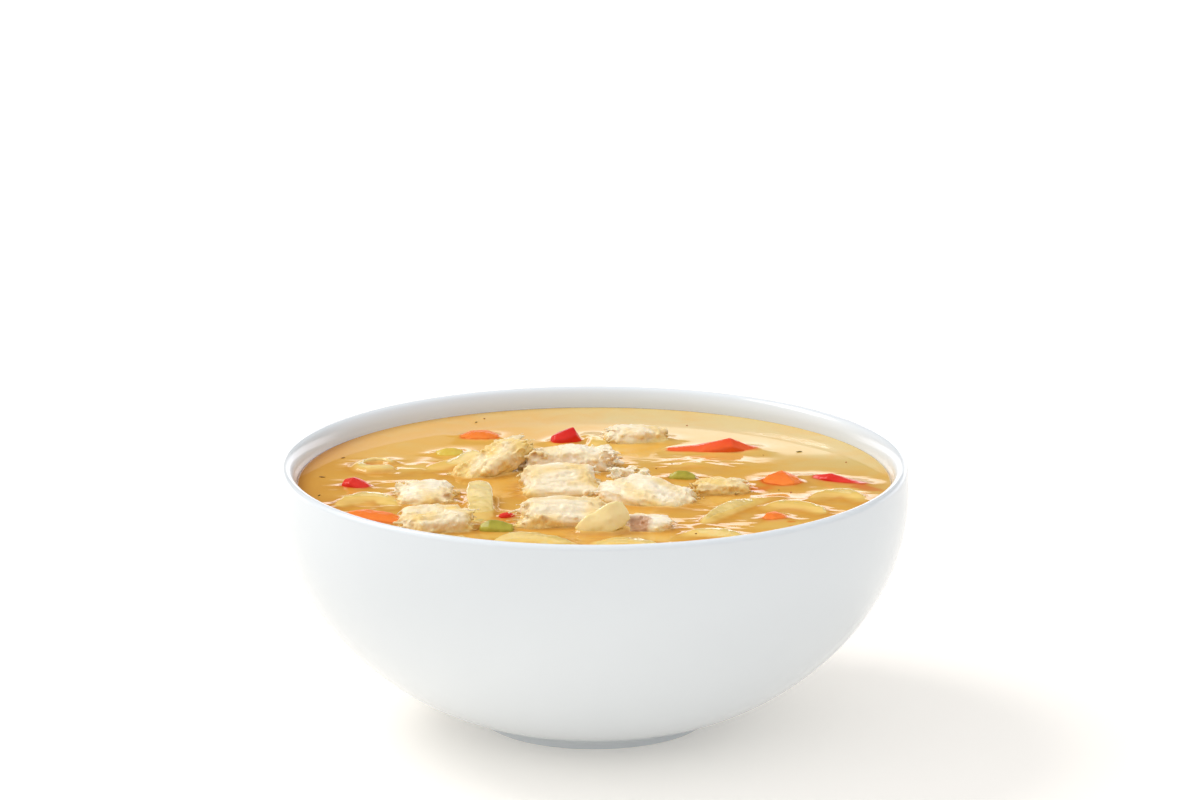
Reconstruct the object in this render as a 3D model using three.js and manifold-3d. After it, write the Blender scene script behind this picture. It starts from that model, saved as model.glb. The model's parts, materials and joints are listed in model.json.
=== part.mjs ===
// A white porcelain soup bowl on a foot ring, filled with chicken noodle soup: a creamy golden
// broth with torn chicken, egg noodles, red pepper, carrot and celery lying half sunk in it.
// Millimetres, +Z up. The origin is on the table, under the middle of the bowl.

import * as THREE from "three";
import { mergeVertices } from "three/addons/utils/BufferGeometryUtils.js";
import Module from "manifold-3d";

const wasm = await Module();
wasm.setup();

// Driving sizes of the bowl
const RIM_RADIUS = 76;
const BOWL_HEIGHT = 64.3;
const WALL = 4.4;
const LIP_TOP_RADIUS = 74.8; // where the rounded lip is highest
const LIP_DROP = 1.4; // how far the lip's outer side rounds down
const WALL_ROOT = new THREE.Vector2(30.7, 3.3); // where the wall meets the foot ring
const WALL_ROOT_ANGLE = 9.3; // degrees above level, as the wall leaves the foot
const WALL_ROOT_PULL = 14.2; // how far it keeps that direction
const WALL_TOP_LEAN = 6; // degrees that the top of the wall leans inwards
const WALL_TOP_PULL = 36;
const INNER_WALL_TOP = 0.955; // share of the wall's curve where the inside starts to round over
const FLOOR_DIP = 0.4; // how much lower the inside is in the very middle
const FOOT_RADIUS = 28.1;
const FOOT_WIDTH = 3.6;
const FOOT_EDGE = 0.6; // rounding of the ring that stands on the table
const BASE_RECESS = 2.2; // how far the underside is set up inside the ring
const BOWL_SEGMENTS = 48;
const OUTER_STEPS = 7;
const OUTER_CROWDING = 1.4; // how much closer its steps are towards the lip
const INNER_STEPS = 5;
const LIP_STEPS = 2;

// Driving sizes of the soup
const SOUP_LEVEL = 59.5;
const GAP = 0.32; // clearance between neighbouring pieces
const POCKET_GAP = 0.48; // from a noodle or a vegetable to its pocket in the broth
const NOODLE_THICKNESS = 1.9;
const DICE_FLARE = 0.12; // how much wider a diced piece is at one end
const CREST_FALL = 1.4; // how steeply a diced piece falls away from its crest
const HERB_WIDTH = 0.9;
const HERB_THICKNESS = 0.7;

// How chicken tears into bundles of strands. Lengths and heights are shares of the piece's own.
const BUNDLE_OVERLAP = 1.75; // how much wider a bundle is than its share of the piece
const BUNDLE_SQUARENESS = 4.2;
const BUNDLE_CROWDING = 0.66; // how close its corners are to its ends, closer when lower
const BUNDLE_LENGTH = 0.46; // half of the longest bundle
const BUNDLE_SHORTER = 0.09;
const BUNDLE_HEIGHT = 0.48; // half of the highest bundle
const BUNDLE_LOWER = 0.12;
const BUNDLE_SLIP = 0.05; // how far a bundle has slipped along or up
const BUNDLE_SKEW = 0.12; // radians that it has turned
const SWELLING = 0.08;
const TEARING = 0.1;
const CHICKEN_CLEARANCE = 1.65; // from a piece of chicken to its pocket in the broth
const POCKET_SQUARENESS = 7;

// Each piece of chicken: its middle (x, y and height above the soup), its size along the grain,
// across it and up, its turn about Z, the lift of one end and the tip to the front in degrees,
// and how many bundles of strands it is torn from
const CHICKEN = [
  ["chicken_centre", [-8.8, -9.2, 0.9], [20, 15.5, 8.8], [4, 0, 17], 3],
  ["chicken_centre_front", [-6.6, -36.8, 0.8], [24, 12.5, 9.6], [3, -2, 10], 3],
  ["chicken_right", [13.2, -18.2, 0], [24.5, 14.5, 8.2], [-21, -10, 8], 3],
  ["chicken_centre_back", [-6.6, 11.4, 1.4], [13, 22.5, 9.8], [84, -10, -5], 3],
  ["chicken_left", [-40.4, -16.8, 0.2], [14.5, 13, 8.4], [-8, 3, 12], 3],
  ["chicken_front_left", [-36.8, -41.2, 0.2], [17.5, 14, 8.4], [14, 0, 8], 3],
  ["chicken_spike", [-26, 7, 1.7], [21.5, 9, 6.4], [34, 25, 12], 3],
  ["chicken_back", [10.6, 38.8, 0.3], [11, 15, 8], [98, -4, 4], 2],
  ["chicken_right_shred", [30.6, -10.4, 0.2], [13.4, 8.6, 6.4], [14, -4, 6], 2],
  ["chicken_front_right", [12.3, -42.6, -0.1], [12.2, 9.4, 7.2], [-3, -2, 6], 2],
];
// The torn hollow in the front of the last one
const HOLLOW_MIDDLE = [9.4, -45.2, 2.4];
const HOLLOW_SIZE = [7.6, 5.6, 3.6];

// Each noodle: the ribbon's width, how far that width is rolled out of level, how much further it
// is twisted from end to end, and its middle line, with heights above the soup
const NOODLES = [
  ["noodle_left_back", 6, 8, 20,
    [[-49, 4.6, -2], [-45.2, 9.6, -1], [-41, 14, -0.9], [-38.6, 20, -2]]],
  ["noodle_under_spike", 6.4, 8, 6,
    [[-41.6, 8.4, -1.5], [-37.6, 11.4, -0.2], [-33.2, 13.6, 0.9], [-28, 15.8, 2.2]]],
  ["noodle_left_front", 6.4, 12, -25,
    [[-60.4, -25, -1.5], [-56.4, -18.2, 0.1], [-50.6, -18, 0.1], [-48, -27, -1.5]]],
  ["noodle_upright", 7.4, 4, -16,
    [[-27, -38, -1.2], [-26.8, -29.6, 0.6], [-27.2, -21.6, 2.2], [-27.6, -14.6, 3.2]]],
  ["noodle_fold", 7.8, 58, 0,
    [[-3.2, -47.6, -1], [0.4, -47.2, 1.4], [4, -46.2, 3.3], [7.8, -44, 4.2]]],
  ["noodle_back", 4.8, 10, 15,
    [[-1.8, 28, -1.5], [0.8, 32, -0.1], [0.8, 38, 0], [-1.4, 44.4, -1.5]]],
  ["noodle_right_back", 6.4, -6, 14,
    [[17.6, 11.2, -1.9], [21.4, 14.4, -0.8], [26.4, 15, -0.8], [31, 10.4, -1.9]]],
  ["noodle_right_edge", 6.4, 16, -20,
    [[52, -20.4, -1.5], [56.6, -14.6, 0.1], [61, -14.8, 0.1], [63.6, -20.6, -1.5]]],
  ["noodle_right_front", 6.4, 14, 24,
    [[39.8, -27.8, -1.5], [44.6, -24.2, 0], [50, -25.4, 0], [54, -31.2, -1.5]]],
  ["noodle_long", 6, 30, -14,
    [[26, -41.6, -1.7], [29.4, -33.4, 0], [35, -25, 0.2], [45.4, -17, -1.8]]],
  ["noodle_front", 6.8, 14, -20,
    [[-23.4, -56.6, -1.6], [-17.4, -53.6, 0], [-10.4, -54.4, 0], [-4.6, -60, -1.6]]],
  ["noodle_front_middle", 6.6, 8, 22,
    [[-0.6, -58, -1.6], [4.6, -55.6, -0.1], [10.4, -56.6, -0.1], [14.6, -61.4, -1.6]]],
  ["noodle_near_left", 6.6, 12, 10,
    [[-44, -51, -1.6], [-37.6, -53.6, 0], [-30.4, -57.6, 0.1], [-27, -63.4, -1.6]]],
  ["noodle_near_right", 6, 10, -12,
    [[20.4, -50.6, -1.6], [25.4, -48.8, -0.1], [31, -49.6, 0], [36, -54, -1.6]]],
];
// A noodle curled round into a ring, with its outer edge lower than its inner one
const RING_MIDDLE = [-53.2, 12, 0.1];
const RING_RADIUS = 4.9;
const RING_WIDTH = 4.6;
const RING_ROLL = 32;
const RING_START = 30; // degrees
const RING_END = 325;

// Each diced vegetable: its middle, its size long, across and up, its turns as for the chicken,
// the height of a crest across its top, and where that stands, from -1 at one end to 1 at the other
const PEPPERS = [
  ["pepper_back", [-7.2, 36.8, -0.3], [8, 5.6, 4.2], [24, -8, 10], 0.6, 0.2],
  ["pepper_left", [-57.4, -5.8, -0.5], [7, 5.4, 3.8], [-18, -8, 8], 0.15, -0.4],
  ["pepper_strip_back", [29.4, 28.4, -1.2], [24, 7, 4], [6, -3, 8], 0.65, 0.35],
  ["pepper_strip_right", [59.4, -1.6, -0.9], [15, 4.4, 3], [-28, 0, 8], 0.6, -0.6],
  ["pepper_bit_front", [-20.6, -33.2, -0.1], [4.2, 2.8, 1.9], [30, -8, 0], 0.1, 0],
];
const CARROTS = [
  ["carrot_back_left", [-28.8, 41.4, -0.9], [10, 7, 4], [4, 0, 6], 0.05, 0],
  ["carrot_front_left", [-51.6, -34.8, -0.7], [15, 6.6, 3.8], [-22, -3, 6], 0.05, 0],
  ["carrot_right", [45.2, -2, -1], [9.6, 9.2, 4.2], [20, 4, 9], 0.15, 0.3],
  ["carrot_right_front", [42.6, -34.4, -0.7], [6.2, 5, 3.2], [30, 0, 8], 0.1, 0],
  ["carrot_near", [21, -61.4, -0.8], [8.4, 5.4, 3.4], [-10, 0, 0], 0.05, 0],
];
const CELERY = [
  ["celery_left", [-35.8, 24.6, -0.8], [7, 7, 3.6], [6, 0, 6], 0, 0],
  ["celery_front", [-22.8, -44.2, -0.5], [8.2, 5.4, 3.6], [-4, 0, 8], 0.2, -0.2],
  ["celery_right", [21.4, 1.6, -0.6], [6.8, 4.4, 3.4], [-6, 0, 8], 0.25, 0],
];

// Each flake of herb lying on the broth: its place, length and turn
const HERBS = [
  [36.4, -9.6, 3.2, -12], [50.7, 26.7, 2.2, 5], [67.4, 10.3, 1.3, 30],
  [47.2, -11.2, 1.4, 60], [-43.1, 53.6, 1.4, 0], [-66.1, 2.8, 2.2, -4], [-62, 20.8, 1.8, 20],
  [-18.6, 24.6, 2, 70], [-30.1, 56.7, 1.5, 40], [-66, -14, 1.4, 80], [62.6, -25, 1.5, 15],
  [-33.6, -27.4, 1.5, 25],
];

const { degToRad, lerp } = THREE.MathUtils;

// A small seeded random number generator, so that every build gives the same pieces
function seeded(seed) {
  let state = seed;
  return () => {
    state = (state * 1664525 + 1013904223) % 4294967296;
    return state / 4294967296;
  };
}

function steps(count, from, to) {
  return Array.from({ length: count + 1 }, (_, i) => lerp(from, to, i / count));
}

// A closed geometry as a manifold-3d solid, with its seams joined and each vertex moved by place
function solidOf(geometry, place = () => {}) {
  geometry.deleteAttribute("normal");
  geometry.deleteAttribute("uv");
  const joined = mergeVertices(geometry, 1e-4);
  const positions = joined.attributes.position;
  const point = new THREE.Vector3();
  for (let i = 0; i < positions.count; i++) {
    place(point.fromBufferAttribute(positions, i));
    positions.setXYZ(i, point.x, point.y, point.z);
  }
  const vertProperties = Float32Array.from(positions.array);
  const triVerts = Uint32Array.from(joined.index.array);
  return new wasm.Manifold(new wasm.Mesh({ numProp: 3, vertProperties, triVerts }));
}

// A manifold-3d solid as a three.js geometry
function geometryOf(solid) {
  const mesh = solid.getMesh();
  const geometry = new THREE.BufferGeometry();
  geometry.setAttribute("position", new THREE.BufferAttribute(mesh.vertProperties.slice(), 3));
  geometry.setIndex(new THREE.BufferAttribute(mesh.triVerts.slice(), 1));
  geometry.computeVertexNormals();
  return geometry;
}

// The curve of the bowl's outer wall, from the foot ring up to the lip
function wallCurve() {
  const root = degToRad(WALL_ROOT_ANGLE);
  const lean = degToRad(WALL_TOP_LEAN);
  const top = new THREE.Vector2(RIM_RADIUS, BOWL_HEIGHT - LIP_DROP);
  const leaving = new THREE.Vector2(Math.cos(root), Math.sin(root)).multiplyScalar(WALL_ROOT_PULL);
  const arriving = new THREE.Vector2(Math.sin(lean), -Math.cos(lean)).multiplyScalar(WALL_TOP_PULL);
  const pulls = [WALL_ROOT.clone().add(leaving), top.clone().add(arriving)];
  return new THREE.CubicBezierCurve(WALL_ROOT, ...pulls, top);
}

// A point of the wall's curve, moved inwards at right angles to it
function wallPoint(share, inset) {
  const curve = wallCurve();
  const along = curve.getTangent(share);
  return curve.getPoint(share).add(new THREE.Vector2(-along.y, along.x).multiplyScalar(inset));
}

// A quarter of an ellipse from a level start down to a steep end, without its start
function roundedDown(from, to, count) {
  const angles = steps(count, 0, Math.PI / 2).slice(1);
  return angles.map((angle) => {
    const radius = lerp(from.x, to.x, Math.sin(angle));
    return new THREE.Vector2(radius, lerp(to.y, from.y, Math.cos(angle)));
  });
}

function bowlSolid() {
  const lipTop = new THREE.Vector2(LIP_TOP_RADIUS, BOWL_HEIGHT);
  const outside = steps(OUTER_STEPS, 1, 0).map((rest) => wallPoint(1 - rest ** OUTER_CROWDING, 0));
  const inside = steps(INNER_STEPS, INNER_WALL_TOP, 0).map((share) => wallPoint(share, WALL));
  const profile = [
    new THREE.Vector2(0, BASE_RECESS),
    new THREE.Vector2(FOOT_RADIUS - FOOT_WIDTH - FOOT_EDGE, BASE_RECESS),
    new THREE.Vector2(FOOT_RADIUS - FOOT_WIDTH, 0),
    new THREE.Vector2(FOOT_RADIUS - FOOT_EDGE, 0),
    new THREE.Vector2(FOOT_RADIUS, FOOT_EDGE),
    ...outside,
    ...roundedDown(lipTop, outside.at(-1), LIP_STEPS).reverse().slice(1),
    lipTop,
    ...roundedDown(lipTop, inside[0], LIP_STEPS + 1).slice(0, -1),
    ...inside,
    new THREE.Vector2(0, inside.at(-1).y - FLOOR_DIP),
  ];
  return solidOf(new THREE.LatheGeometry(profile, BOWL_SEGMENTS).rotateX(Math.PI / 2));
}

// The broth before anything is put in it: it fills the bowl up to the soup's level
function brothFill() {
  const side = steps(INNER_STEPS, 0, INNER_WALL_TOP).map((share) => wallPoint(share, WALL + GAP));
  const profile = [
    new THREE.Vector2(0, side[0].y - FLOOR_DIP),
    ...side.filter((point) => point.y < SOUP_LEVEL),
    new THREE.Vector2(side.at(-1).x, SOUP_LEVEL),
    new THREE.Vector2(0, SOUP_LEVEL),
  ];
  return solidOf(new THREE.LatheGeometry(profile, BOWL_SEGMENTS).rotateX(Math.PI / 2));
}

// Where a piece lies: turned about its middle, which is at a height above the soup
function placing([x, y, height], [turn, lift, tip] = [0, 0, 0]) {
  const turned = new THREE.Euler(degToRad(tip), degToRad(-lift), degToRad(turn), "ZYX");
  return new THREE.Matrix4().makeRotationFromEuler(turned).setPosition(x, y, SOUP_LEVEL + height);
}

// A block with rounded sides, squarer for a higher squareness. form reshapes it while it is still
// 2 long, 2 wide and 2 high, before it is brought to size. The lower crowding is below 1, the closer
// its corners are to its ends.
function blockSolid(half, squareness, around, along, place, form = () => {}, crowding = 1) {
  const ball = new THREE.SphereGeometry(1, around, along).rotateZ(-Math.PI / 2);
  const quarter = Math.PI / 2;
  return solidOf(ball, (point) => {
    const towardsEnd = Math.asin(THREE.MathUtils.clamp(point.x, -1, 1));
    const crowded = Math.sign(point.x) * quarter * Math.abs(towardsEnd / quarter) ** crowding;
    const girth = Math.cos(crowded) / Math.max(Math.cos(towardsEnd), 1e-6);
    point.set(Math.sin(crowded), point.y * girth, point.z * girth);
    const reach = [point.x, point.y, point.z].reduce((sum, part) => sum + Math.abs(part) ** squareness, 0);
    point.multiplyScalar(reach ** (-1 / squareness));
    form(point);
    point.multiply(half).applyMatrix4(place);
  });
}

// One bundle of a chicken piece's strands: its girth swells along it and its ends are torn off
function bundleSolid(half, place, random, grow) {
  const [swell, spread, tear, split] = Array.from({ length: 4 }, () => random() * 2 * Math.PI);
  const torn = (point) => {
    const around = Math.atan2(point.z, point.y);
    const girth = 1 + SWELLING * (Math.sin(4 * point.x + swell) + Math.sin(3 * around + spread));
    const end = 1 + TEARING * (Math.sin(2 * around + tear) + Math.sin(3 * around + split));
    point.set(point.x * end, point.y * girth, point.z * girth);
  };
  return blockSolid(half.addScalar(grow), BUNDLE_SQUARENESS, 8, 6, place, torn, BUNDLE_CROWDING);
}

// A torn piece of chicken: bundles of strands side by side, each as long and as high as it was torn
function chickenSolid([, middle, [length, width, height], turns, bundles], seed, grow) {
  const random = seeded(seed);
  const either = (most) => (2 * random() - 1) * most;
  const halfWidth = (width / bundles) * (BUNDLE_OVERLAP / 2);
  const outermost = width / 2 - halfWidth;
  let whole = null;
  for (let i = 0; i < bundles; i++) {
    const halfLength = length * (BUNDLE_LENGTH - BUNDLE_SHORTER * random());
    const halfHeight = height * (BUNDLE_HEIGHT - BUNDLE_LOWER * random());
    const along = either(BUNDLE_SLIP) * length;
    const across = lerp(-outermost, outermost, i / (bundles - 1));
    const skew = new THREE.Matrix4().makeRotationZ(either(BUNDLE_SKEW));
    const shift = new THREE.Matrix4().makeTranslation(along, across, either(BUNDLE_SLIP) * height);
    const place = placing(middle, turns).multiply(skew).multiply(shift);
    const bundle = bundleSolid(new THREE.Vector3(halfLength, halfWidth, halfHeight), place, random, grow);
    whole = whole ? whole.add(bundle) : bundle;
  }
  return whole;
}

// The pocket in the broth round a piece of chicken: a plain block that clears all its bundles
function chickenPocket([, middle, size, turns]) {
  const half = new THREE.Vector3(...size).divideScalar(2).addScalar(CHICKEN_CLEARANCE);
  return blockSolid(half, POCKET_SQUARENESS, 8, 4, placing(middle, turns));
}

function hollowSolid() {
  return blockSolid(new THREE.Vector3(...HOLLOW_SIZE).divideScalar(2), 2, 8, 6, placing(HOLLOW_MIDDLE));
}

// A diced vegetable: a rounded block with a crest across its top, bent across as a stalk is
function diceSolid([, middle, size, turns, crest, peak], squareness, bend, grow) {
  const half = new THREE.Vector3(...size).divideScalar(2).addScalar(grow);
  return blockSolid(half, squareness, 8, 5, placing(middle, turns), (point) => {
    const near = Math.max(0, 1 - CREST_FALL * Math.abs(point.x - peak));
    const raised = 2 * crest * Math.max(0, point.z) * near;
    point.z += raised - bend * (point.y ** 2 - 0.5);
    point.y *= 1 + DICE_FLARE * point.x;
  });
}

// A noodle: a ribbon that follows its middle line, thinner towards its edges
function ribbonSolid(points, width, roll, twist, grow) {
  const curve = new THREE.CatmullRomCurve3(points);
  const ruffle = 5; // degrees that the ribbon rocks along its length
  const taper = 0.25; // how much narrower its ends are
  return solidOf(new THREE.CylinderGeometry(1, 1, 1, 6, 8), (point) => {
    const share = THREE.MathUtils.clamp(point.y + 0.5, 0, 1);
    const ended = 2 * share - 1;
    const along = curve.getTangentAt(share);
    const side = new THREE.Vector3().crossVectors(along, new THREE.Vector3(0, 0, 1)).normalize();
    side.applyAxisAngle(along, degToRad(roll + (twist * ended) / 2 + ruffle * Math.sin(9 * share)));
    const up = new THREE.Vector3().crossVectors(side, along);
    const across = point.x * (width / 2 + grow) * (1 - taper * Math.abs(ended) ** 6);
    const through = point.z * (NOODLE_THICKNESS / 2 + grow);
    const past = Math.abs(ended) > 0.999 ? Math.sign(ended) * grow : 0;
    point.copy(curve.getPointAt(share));
    point.addScaledVector(side, across).addScaledVector(up, through).addScaledVector(along, past);
  });
}

function noodleSolid([, width, roll, twist, path], grow) {
  const points = path.map(([x, y, height]) => new THREE.Vector3(x, y, SOUP_LEVEL + height));
  return ribbonSolid(points, width, roll, twist, grow);
}

function ringSolid(grow) {
  const [x, y, height] = RING_MIDDLE;
  const middle = new THREE.Vector3(x, y, SOUP_LEVEL + height);
  const points = steps(8, degToRad(RING_START), degToRad(RING_END)).map((angle) =>
    new THREE.Vector3(Math.cos(angle), Math.sin(angle), 0).multiplyScalar(RING_RADIUS).add(middle),
  );
  return ribbonSolid(points, RING_WIDTH, RING_ROLL, 0, grow);
}

// Every piece of food: its name, what it is, its solid grown by an amount, and its pocket in the broth
function foodPieces() {
  const chicken = CHICKEN.map((piece, i) => ({
    name: piece[0],
    kind: "chicken",
    solid: (grow) => chickenSolid(piece, i + 3, grow),
    pocket: () => chickenPocket(piece),
  }));
  const plain = (name, kind, solid) => ({ name, kind, solid, pocket: () => solid(POCKET_GAP) });
  const diced = (table, kind, squareness, bend) =>
    table.map((piece) => plain(piece[0], kind, (grow) => diceSolid(piece, squareness, bend, grow)));
  const noodles = NOODLES.map((piece) => plain(piece[0], "noodle", (grow) => noodleSolid(piece, grow)));
  return [
    ...chicken,
    ...diced(PEPPERS, "pepper", 3.4, 0.25),
    ...diced(CARROTS, "carrot", 4.4, 0),
    ...diced(CELERY, "celery", 3.4, 0.7),
    ...noodles,
    plain("noodle_ring", "noodle", ringSolid),
  ];
}

function largestOf(solid) {
  return solid.decompose().reduce((best, part) => (part.volume() > best.volume() ? part : best));
}

// Cuts each piece back, by the gap, from those before it
function fitted(pieces) {
  const before = [];
  for (const piece of pieces) {
    let solid = piece.solid(0);
    for (const other of before) {
      if (solid.intersect(other).volume() > 0) solid = largestOf(solid.subtract(other));
    }
    before.push(piece.solid(GAP));
    piece.fitted = piece.name === "chicken_front_right" ? solid.subtract(hollowSolid()) : solid;
  }
  return pieces;
}

// The broth, with a pocket for each piece that lies in it and the flakes of herb on top
function brothSolid(pieces) {
  let broth = brothFill();
  for (const piece of pieces) broth = broth.subtract(piece.pocket());
  for (const [x, y, length, turn] of HERBS) {
    const half = new THREE.Vector3(length, HERB_WIDTH, HERB_THICKNESS).divideScalar(2);
    broth = broth.add(blockSolid(half, 2, 5, 4, placing([x, y, 0], [turn, 0, 0])));
  }
  return largestOf(broth);
}

const MATERIALS = {
  bowl: new THREE.MeshStandardMaterial({ color: 0xf3f4f4, roughness: 0.12, metalness: 0 }),
  broth: new THREE.MeshStandardMaterial({ color: 0xe0a850, roughness: 0.15, metalness: 0 }),
  chicken: new THREE.MeshStandardMaterial({ color: 0xf3e8d2, roughness: 0.5, metalness: 0 }),
  noodle: new THREE.MeshStandardMaterial({ color: 0xf0d88c, roughness: 0.3, metalness: 0 }),
  pepper: new THREE.MeshStandardMaterial({ color: 0xdc1f1c, roughness: 0.25, metalness: 0 }),
  carrot: new THREE.MeshStandardMaterial({ color: 0xf07620, roughness: 0.3, metalness: 0 }),
  celery: new THREE.MeshStandardMaterial({ color: 0x9c9a22, roughness: 0.3, metalness: 0 }),
};

function named(name, kind, solid) {
  const mesh = new THREE.Mesh(geometryOf(solid), MATERIALS[kind]);
  mesh.name = name;
  return mesh;
}

const food = fitted(foodPieces());
const soupBowl = new THREE.Group();
soupBowl.add(named("bowl", "bowl", bowlSolid()));
soupBowl.add(named("broth", "broth", brothSolid(food)));
for (const piece of food) soupBowl.add(named(piece.name, piece.kind, piece.fitted));

export default soupBowl;
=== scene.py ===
"""The looks of a white porcelain bowl of chicken noodle soup.

The bowl, the broth and everything that lies in it are built round the frame, which gives each
piece its place and its main form. Shapes are worked out in millimetres and made in metres.
"""

import json
import math

import bpy
import numpy as np
from mathutils import Euler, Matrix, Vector
from mathutils.bvhtree import BVHTree

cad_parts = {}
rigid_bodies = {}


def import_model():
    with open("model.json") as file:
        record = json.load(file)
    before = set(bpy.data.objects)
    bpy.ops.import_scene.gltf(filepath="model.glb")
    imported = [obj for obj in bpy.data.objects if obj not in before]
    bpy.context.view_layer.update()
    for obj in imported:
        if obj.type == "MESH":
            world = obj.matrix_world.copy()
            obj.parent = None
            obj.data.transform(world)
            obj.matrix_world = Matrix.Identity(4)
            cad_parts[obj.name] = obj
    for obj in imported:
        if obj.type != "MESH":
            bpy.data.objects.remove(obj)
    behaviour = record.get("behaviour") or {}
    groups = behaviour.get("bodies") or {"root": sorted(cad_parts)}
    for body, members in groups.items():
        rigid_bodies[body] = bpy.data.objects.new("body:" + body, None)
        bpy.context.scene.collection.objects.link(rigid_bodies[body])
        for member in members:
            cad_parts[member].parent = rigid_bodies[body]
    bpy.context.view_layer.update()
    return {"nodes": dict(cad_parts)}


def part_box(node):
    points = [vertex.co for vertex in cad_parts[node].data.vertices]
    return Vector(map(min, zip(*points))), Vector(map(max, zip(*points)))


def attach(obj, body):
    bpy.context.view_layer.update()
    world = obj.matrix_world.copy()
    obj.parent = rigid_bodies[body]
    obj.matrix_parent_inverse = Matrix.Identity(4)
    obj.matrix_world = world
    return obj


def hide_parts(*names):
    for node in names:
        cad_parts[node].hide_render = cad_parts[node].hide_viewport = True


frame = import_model()

bl_info = {
    "name": "Bowl of chicken noodle soup",
    "version": (1, 0, 0),
    "blender": (4, 5, 0),
    "location": "3D View > Sidebar > Soup",
    "description": "Makes a porcelain bowl of soup with its broth, chicken, noodles and vegetables",
    "category": "Add Mesh",
}

MM = 0.001
BODY = "root"
BOWL_BOX = [np.array(corner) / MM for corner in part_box("bowl")]
NODES = sorted(frame["nodes"])


def linear(hex_colour):
    """A colour written as an sRGB hex value, as linear red, green and blue."""
    channels = [int(hex_colour[i : i + 2], 16) / 255 for i in (0, 2, 4)]
    return [c / 12.92 if c <= 0.04045 else ((c + 0.055) / 1.055) ** 2.4 for c in channels]


def colour_setting(name, hex_colour, description):
    """A colour that a user can change, with its default as an sRGB hex value."""
    return bpy.props.FloatVectorProperty(
        name=name, description=description, subtype="COLOR", min=0, max=1, default=linear(hex_colour)
    )


def length_setting(name, millimetres, description):
    """A length that a user can change, with its default in millimetres."""
    return bpy.props.FloatProperty(
        name=name, description=description, subtype="DISTANCE", unit="LENGTH", default=millimetres * MM
    )


class BowlSettings(bpy.types.PropertyGroup):
    """Sizes and colour of the porcelain bowl."""

    rim_radius: length_setting("Rim radius", 75.97, "Radius of the bowl at its lip")
    height: length_setting("Height", BOWL_BOX[1][2], "Height of the rim above the table")
    wall: length_setting("Wall", 4.4, "Thickness of the bowl's wall")
    foot_radius: length_setting("Foot radius", 28.1, "Radius of the ring that the bowl stands on")
    glaze: colour_setting("Glaze", "E3E8EC", "Colour of the glazed porcelain")


class BrothSettings(bpy.types.PropertyGroup):
    """Level, unevenness and colours of the broth."""

    level: length_setting("Level", 59.5, "Height of the broth above the table")
    cling: length_setting("Cling", 0.5, "How far the broth climbs up what lies in it")
    cling_width: length_setting("Cling width", 1.3, "How far from a piece the broth starts to climb")
    film: length_setting("Film", 0.2, "Thickness of the broth that lies over sunk pieces")
    cover: length_setting("Cover", 1.1, "How far a piece may rise and still have broth over it")
    golden: colour_setting("Golden", "E4AE4D", "Main colour of the broth")
    # The cream goes on in the broth's own swirls and as a painted paler sheen towards the back right
    cream: colour_setting("Cream", "DCBF77", "Paler, creamier broth")
    # Amber is painted shade, laid by the wall on the left and round the food
    amber_shade: colour_setting("Amber", "C27A24", "Darker, clearer broth")


class ChickenSettings(bpy.types.PropertyGroup):
    """Texture and colours of the torn chicken, with the painted shade of its creases."""

    strand: length_setting("Strand", 0.36, "Radius of a frayed strand of meat")
    crumb: length_setting("Crumb", 0.5, "Radius of a crumb of meat")
    grain: length_setting("Grain", 0.2, "Height of the meat's grain")
    meat: colour_setting("Meat", "F8EBD0", "Colour of the cooked breast meat")
    stain: colour_setting("Stain", "F1CF80", "Colour where the broth has soaked in")
    # The crevice colour is painted shade, laid in the creases between the strands
    shadow: colour_setting("Crevice", "DCA562", "Colour deep between the strands")
    browned: colour_setting("Browned", "B47E52", "Colour of the browned meat inside")


class NoodleSettings(bpy.types.PropertyGroup):
    """Colours of the egg noodles."""

    dough: colour_setting("Dough", "F5DFA2", "Colour of the cooked egg noodle")
    edge: colour_setting("Edge", "EAC66C", "Colour of its thin edges and where broth soaks in")


class VegetableSettings(bpy.types.PropertyGroup):
    """Colours of the red pepper, carrot and celery."""

    pepper: colour_setting("Red pepper", "CC0608", "Skin of the red pepper")
    pepper_edge: colour_setting("Pepper edge", "DE2C18", "Flesh at the pepper's cut edges")
    orange_pepper: colour_setting("Orange pepper", "E63806", "Skin of the riper, orange piece of pepper")
    orange_edge: colour_setting("Orange edge", "EC5E1E", "Flesh at that piece's cut edges")
    carrot: colour_setting("Carrot", "DE4C06", "Cooked carrot")
    carrot_edge: colour_setting("Carrot edge", "EE7E22", "Softened edges of the carrot")
    celery: colour_setting("Celery", "7C7A1E", "Cooked celery")
    celery_edge: colour_setting("Celery edge", "B3A93A", "Softened edges of the celery")
    pale_celery: colour_setting("Pale celery", "D0A81C", "Yellow heart of the celery")
    pale_edge: colour_setting("Pale celery edge", "D9BC4A", "Softened edges of the yellow celery")


class HerbSettings(bpy.types.PropertyGroup):
    """Colours of the dried herbs."""

    leaf: colour_setting("Leaf", "7E6A2C", "Dried green leaf")
    stalk: colour_setting("Stalk", "9C662C", "Brown stalk")
    flake: colour_setting("Flake", "B43C1E", "Red flake")


class StageSettings(bpy.types.PropertyGroup):
    """The camera's place and the studio's light."""

    distance: bpy.props.FloatProperty(
        name="Distance", description="From the camera to the bowl's foot", unit="LENGTH", default=1.2
    )
    elevation: bpy.props.FloatProperty(
        name="Elevation", description="Height of the camera as an angle", subtype="ANGLE",
        default=math.radians(17.787),
    )
    pitch: bpy.props.FloatProperty(
        name="Pitch", description="How far down the camera looks", subtype="ANGLE",
        default=math.radians(14.104),
    )
    lens: bpy.props.FloatProperty(
        name="Lens", description="Focal length in millimetres on a 36 mm sensor", default=146.4
    )
    floor: colour_setting("Floor", "ECE8E1", "Colour of the floor")


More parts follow.
